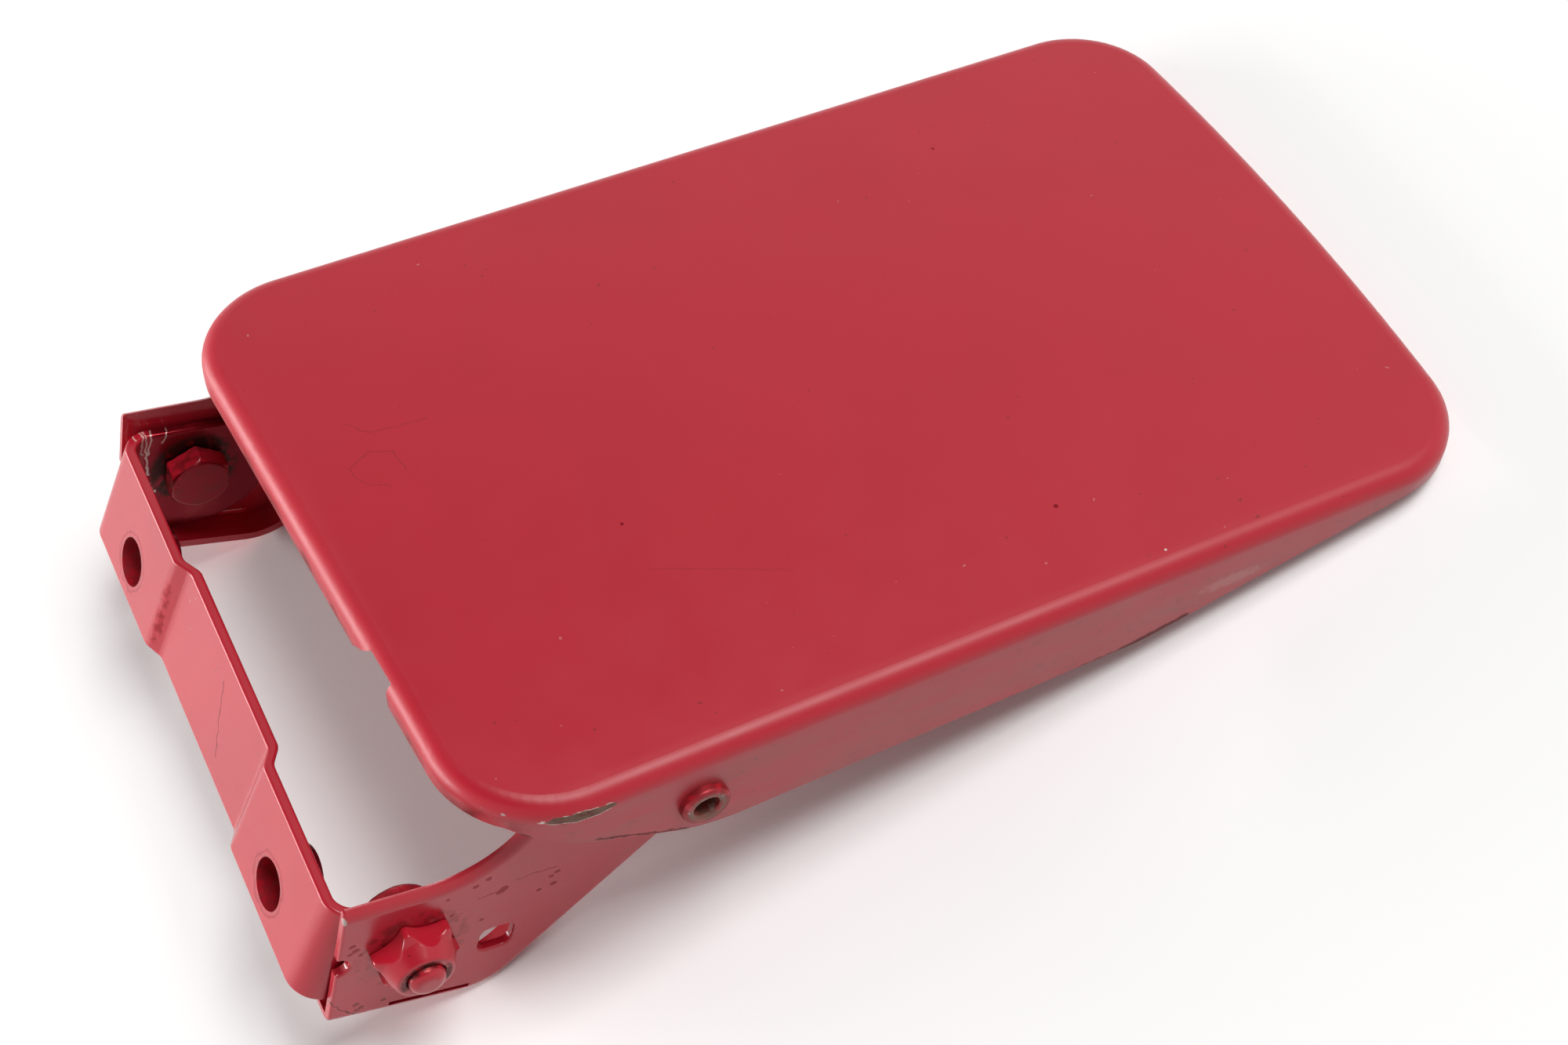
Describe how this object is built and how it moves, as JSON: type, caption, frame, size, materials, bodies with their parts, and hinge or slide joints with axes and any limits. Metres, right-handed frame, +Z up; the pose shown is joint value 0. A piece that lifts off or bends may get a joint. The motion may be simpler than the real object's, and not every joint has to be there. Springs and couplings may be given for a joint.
{
  "type": "fuel filler flap",
  "caption": "Rounded rectangular car fuel filler flap with turned flanges, gooseneck hinge arms and a U-shaped screw-on hinge bracket.",
  "frame": {"origin": "midpoint between the two screw holes, on the outer plane of the bracket's screw pads", "axes": "+Z up from the table that the flap lies on, +Y along the hinge line, +X from the hinge to the free edge"},
  "size_m": [0.2092, 0.121, 0.0503],
  "materials": {
    "panel_paint": "satin-gloss red paint",
    "arm_paint": "gloss red paint over pressed steel",
    "bracket_paint": "gloss red paint over pressed steel",
    "fastener_paint": "thick red paint with dirt in the corners",
    "worn_rivet": "red paint worn to bare metal"
  },
  "bodies": {
    "bracket": {"hinge_bracket": "bracket_paint"},
    "door": {"outer_panel": "panel_paint", "hinge_arm_near": "arm_paint", "hinge_arm_far": "arm_paint", "hollow_rivet_near": "worn_rivet", "hollow_rivet_far": "worn_rivet", "pivot_bolt_near": "fastener_paint", "pivot_bolt_far": "fastener_paint", "pivot_nut_near": "fastener_paint", "pivot_nut_far": "fastener_paint"}
  },
  "joints": [
    {"name": "door_swing", "type": "hinge", "parent": "bracket", "child": "door", "pos_m": [0.01519, 0, -0.0039], "axis": [0, -1, 0], "range_deg": [-10, 85]}
  ]
}
